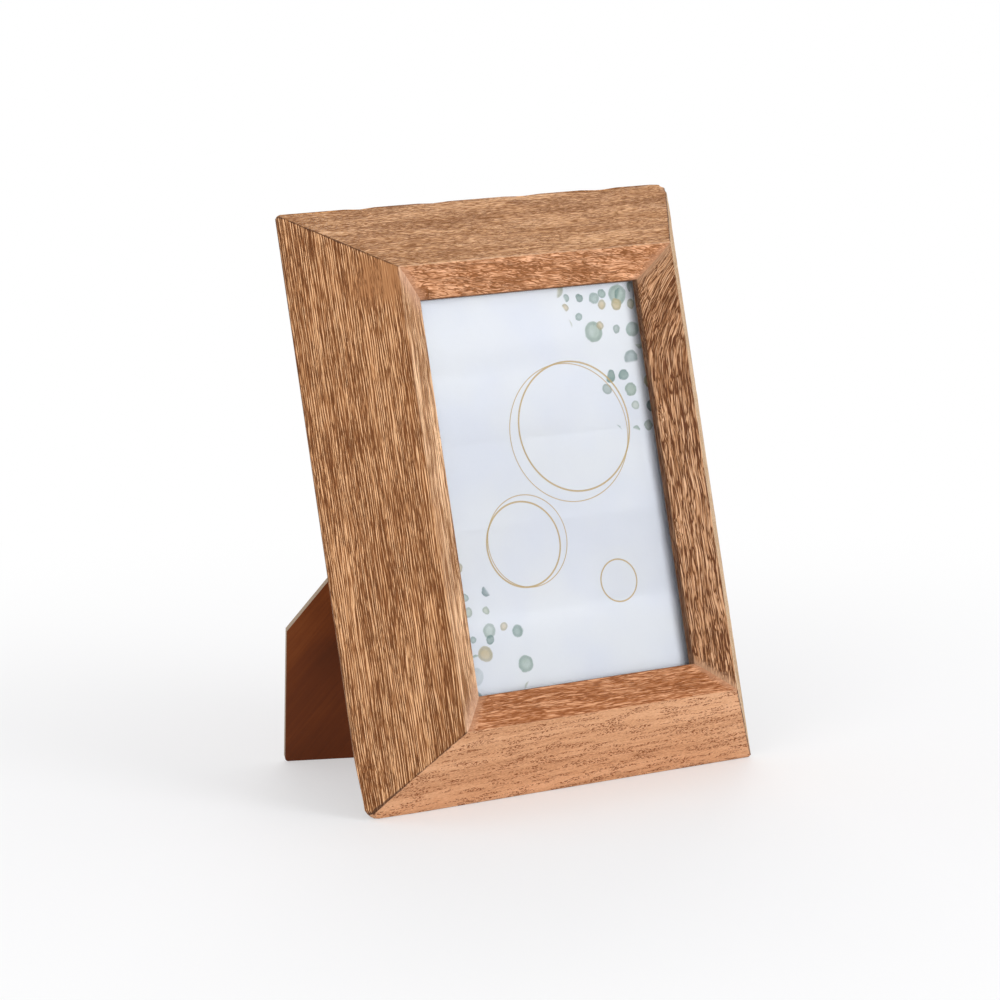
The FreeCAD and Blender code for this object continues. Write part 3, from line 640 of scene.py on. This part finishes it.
def make_moulding():
    """The whole moulding in one ring, run through its stations from the standing rim round to the back."""
    stations = [
        ((RIM_OUT - FOOT_IN, RIM_OUT - FOOT_IN), BACK_DEPTH),
        ((RIM_OUT, RIM_OUT), RIM_DEPTH),
        ((RIDGE_OUT, RIDGE_OUT), 0),
        ((0, 0), OPENING_DEPTH),
        ((0, 0), LIP_DEPTH),
        (GLASS_RABBET, LIP_DEPTH),
        (GLASS_RABBET, BOARD_DEPTH),
        (BOARD_RABBET, BOARD_DEPTH),
        (BOARD_RABBET, BACK_DEPTH),
    ]
    sizes = [(HALF_OPENING[0] + out[0], HALF_OPENING[1] + out[1], -depth) for out, depth in stations]
    across, up, high = sizes[0]
    bpy.ops.object.select_all(action="DESELECT")
    bpy.ops.mesh.primitive_plane_add(size=2 * MM, location=(0, 0, high * MM))
    ring = bpy.context.object
    ring.name = "moulding"
    bpy.ops.object.transform_apply(location=True, rotation=True, scale=True)
    bpy.ops.object.mode_set(mode="EDIT")
    bpy.ops.transform.resize(value=(across, up, 1), center_override=(0, 0, 0))
    for next_across, next_up, next_high in sizes[1:]:
        bpy.ops.mesh.extrude_region_move(
            TRANSFORM_OT_translate={"value": (0, 0, (next_high - high) * MM)})
        bpy.ops.transform.resize(value=(next_across / across, next_up / up, 1), center_override=(0, 0, 0))
        across, up, high = next_across, next_up, next_high
    bpy.ops.mesh.delete(type="ONLY_FACE")
    pick("FACE", lambda face: len(face.verts) == 4 and all(
        abs(vert.co.z / MM + BACK_DEPTH) < CLOSE for vert in face.verts))
    bpy.ops.mesh.delete(type="ONLY_FACE")
    pick("EDGE", lambda edge: edge.is_boundary)
    bpy.ops.mesh.bridge_edge_loops()
    bpy.ops.mesh.select_all(action="SELECT")
    bpy.ops.mesh.normals_make_consistent(inside=False)
    return ring


def round_loop(out, depth, rounding):
    """Rounds an edge that runs right round the moulding."""
    width, segments = rounding

    def on_loop(edge):
        spot = middle(edge)
        return abs(out_from_opening(spot) - out) < CLOSE and abs(spot.z + depth) < CLOSE
    pick("EDGE", on_loop)
    bpy.ops.mesh.bevel(offset=width * MM, segments=segments, profile=0.5)


def round_corner(across, up, radius):
    """Takes an outer corner off in flats square to the back, as a rasp does."""
    heart = Vector([half - radius for half in HALF_SIZE])
    for turn in CORNER_TURNS:
        way = Vector((math.cos(math.radians(turn)), math.sin(math.radians(turn))))
        spot = heart + way * radius
        saw((across * spot.x, up * spot.y, 0), (across * way.x, up * way.y, 0), clear=True)


def divide_finely():
    """Loops close enough together for the hand-worked faces to wander."""
    half_across, half_up = HALF_SIZE
    for step in range(1 - half_across, half_across, LOOP_STEP):
        saw((step, 0, 0), (1, 0, 0))
    for step in range(1 - half_up, half_up, LOOP_STEP):
        saw((0, step, 0), (0, 1, 0))
    for step in range(LOOP_STEP, RIM_DEPTH, LOOP_STEP):
        saw((0, 0, -step), (0, 0, 1))
    for side in (-1, 1):
        for offset in MITRE_LOOPS:
            for shift in (CORNER_SHIFT, -CORNER_SHIFT):
                saw((0, shift + offset * math.sqrt(2), 0), (side, -1, 0))


def mark_members(ring):
    """Each face gets the wood of its member while the mitres are still true."""
    bpy.ops.object.mode_set(mode="OBJECT")
    for name in MEMBERS:
        ring.data.materials.append(member_wood[name])
    bpy.ops.object.mode_set(mode="EDIT")
    for index, (side_x, side_y) in enumerate(MEMBERS.values()):
        def of_member(face):
            spot = face.calc_center_median() / MM
            return (from_mitre(spot) * (abs(side_x) - abs(side_y)) > 0
                    and spot.x * side_x + spot.y * side_y > 0)
        pick("FACE", of_member)
        ring.active_material_index = index
        bpy.ops.object.material_slot_assign()


def wear_spots():
    """The worn lower corner, the rounded upper one and the dents along the top rim."""
    for place, near, value, reach in WORN_SPOTS:
        pick("VERT", lambda vert: (vert.co / MM - Vector(place)).length < near)
        push(value, reach)


def wear_mitres():
    """On the faces in front only, sanded valleys between the bevels and worn hips between the slopes."""
    pick("FACE", lambda face: face.normal.z > 0.2)
    bpy.ops.mesh.hide(unselected=True)
    for across in (-1, 1):
        for up in (-1, 1):
            def on_mitre(vert):
                spot = vert.co / MM
                return spot.x * across > 0 and spot.y * up > 0 and abs(from_mitre(spot)) < ON_MITRE

            pick("VERT", lambda vert: on_mitre(vert) and (
                VALLEY_START < out_from_opening(vert.co / MM) < VALLEY_END))
            push((-across * VALLEY_FILL[0], -up * VALLEY_FILL[1], VALLEY_FILL[2]), VALLEY_REACH)
            pick("VERT", lambda vert: on_mitre(vert) and (
                HIP_START < out_from_opening(vert.co / MM) < HIP_END))
            bpy.ops.transform.shrink_fatten(value=-HIP_WEAR * MM)
    bpy.ops.mesh.reveal(select=False)


def wander(ring):
    """The faces were shaped by hand, so they wander a little inside the sawn size."""
    pick("VERT", lambda vert: (
        vert.co.z / MM > -RIM_DEPTH - 0.1 and out_from_opening(vert.co / MM) > 0.4))
    bpy.ops.object.vertex_group_add()
    ring.vertex_groups.active.name = "worked"
    bpy.ops.object.vertex_group_assign()
    bpy.ops.object.mode_set(mode="OBJECT")
    for name, size, depth in WANDERINGS:
        cloud = bpy.data.textures.new(f"{name}_wander", "CLOUDS")
        cloud.noise_scale = size * MM
        cloud.noise_depth = 1
        bpy.ops.object.modifier_add(type="DISPLACE")
        modifier = ring.modifiers[-1]
        modifier.texture = cloud
        modifier.texture_coords = "LOCAL"
        modifier.mid_level = 0
        modifier.strength = -depth * MM
        modifier.vertex_group = "worked"
        bpy.ops.object.modifier_apply(modifier=modifier.name)


def part_member(ring, index, name):
    """One stile or rail, parted from the ring at its two mitres, closed there and stood up."""
    upright = MEMBERS[name][0] != 0
    alone(ring)
    bpy.ops.object.duplicate()
    member = bpy.context.object
    member.name = member.data.name = f"{name}_worked"
    bpy.ops.object.mode_set(mode="EDIT")
    pick("FACE", lambda face: face.material_index != index)
    bpy.ops.mesh.delete(type="FACE")
    for end in (-1, 1):
        def round_mitre(edge):
            spot = middle(edge)
            return edge.is_boundary and (spot.y if upright else spot.x) * end > 0
        pick("EDGE", round_mitre)
        bpy.ops.mesh.edge_face_add()
    bpy.ops.mesh.select_all(action="SELECT")
    bpy.ops.mesh.normals_make_consistent(inside=False)
    bpy.ops.object.mode_set(mode="OBJECT")
    member.vertex_groups.clear()
    member.rotation_euler = STAND_TURNS
    member.location = STAND
    bpy.ops.object.transform_apply(location=True, rotation=True, scale=True)
    bpy.ops.object.shade_smooth_by_angle(angle=math.radians(SMOOTH_ANGLE))
    member.data.materials.clear()
    member.data.materials.append(member_wood[name])
    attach(member, "frame")
    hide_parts(name)


member_wood = {name: wood(name) for name in MEMBERS}
ring = make_moulding()
round_loop(0, OPENING_DEPTH, LIP_ROUNDING)
round_loop(RIDGE_OUT, 0, RIDGE_ROUNDING)
round_loop(RIM_OUT, RIM_DEPTH, RIM_ROUNDING)
for corner in CORNERS:
    round_corner(*corner)
divide_finely()
mark_members(ring)
wear_spots()
wear_mitres()
wander(ring)
for index, name in enumerate(MEMBERS):
    part_member(ring, index, name)
bpy.data.objects.remove(ring)


# Floor, lamps and surroundings
FLOOR_SIZE = 60
FLOOR_HEIGHT = -0.0002
GLOW_NEAR = 0.1       # metres from the object's middle within which the floor keeps most of its shadow
GLOW_FAR = 0.5
LAMP_TARGET = Vector((0, 0, 0.1))
LAMP_SIZE = 1.2
SKY_LIGHT = 0.7


def seen_ray(finish):
    """1 for what the camera sees, straight, mirrored or through glass, and 0 for what only lights."""
    camera, glossy, through = [finish.node("ShaderNodeLightPath", out=f"Is {kind} Ray")
                               for kind in ("Camera", "Glossy", "Transmission")]
    return camera.most(glossy).most(through)


def make_floor():
    bpy.ops.object.select_all(action="DESELECT")
    bpy.ops.mesh.primitive_plane_add(size=FLOOR_SIZE, location=(0, 0, FLOOR_HEIGHT))
    floor = bpy.context.object
    floor.name = "floor"
    finish = new_finish("pale_floor")
    matt = finish.surface(Base_Color=tone(236, 236, 238), Roughness=0.9)
    glow = finish.node("ShaderNodeEmission", None, {"Color": WHITE, "Strength": 1.0})
    x, y, _ = finish.parts(finish.node("ShaderNodeTexCoord", out="Object"))
    away = (x * x + y * y).root().rise(GLOW_NEAR, GLOW_FAR)
    share = seen_ray(finish) * finish.between(away, 0.4, 1.0)
    floor.data.materials.append(finish.output(
        finish.node("ShaderNodeMixShader", None, {0: share, 1: matt, 2: glow})))


def make_lamp(name, place, watts, mirrored):
    bpy.ops.object.light_add(type="AREA", location=place)
    lamp = bpy.context.object
    lamp.name = name
    lamp.data.shape = "DISK"
    lamp.data.size = LAMP_SIZE
    lamp.data.energy = watts
    lamp.visible_glossy = mirrored
    lamp.rotation_euler = (LAMP_TARGET - Vector(place)).to_track_quat("-Z", "Y").to_euler()


def make_surroundings():
    """White all round, seen at full strength, though it lights the object with less."""
    studio = bpy.data.worlds.new("studio")
    bpy.context.scene.world = studio
    finish = Finish(studio)
    lighting, shown = [finish.node("ShaderNodeBackground", None, {"Color": WHITE, "Strength": strength})
                       for strength in (SKY_LIGHT, 1.0)]
    mixed = finish.node("ShaderNodeMixShader", None, {0: seen_ray(finish), 1: lighting, 2: shown})
    finish.output(mixed, "ShaderNodeOutputWorld")


make_floor()
make_lamp("key_lamp", (0.9, -1.95, 0.6), 28, mirrored=False)
make_lamp("fill_lamp", (-1.6, -1.2, 1.0), 16, mirrored=True)
make_lamp("back_lamp", (0.9, 1.5, 1.0), 9, mirrored=True)
make_surroundings()
bpy.context.scene.view_settings.view_transform = "Standard"
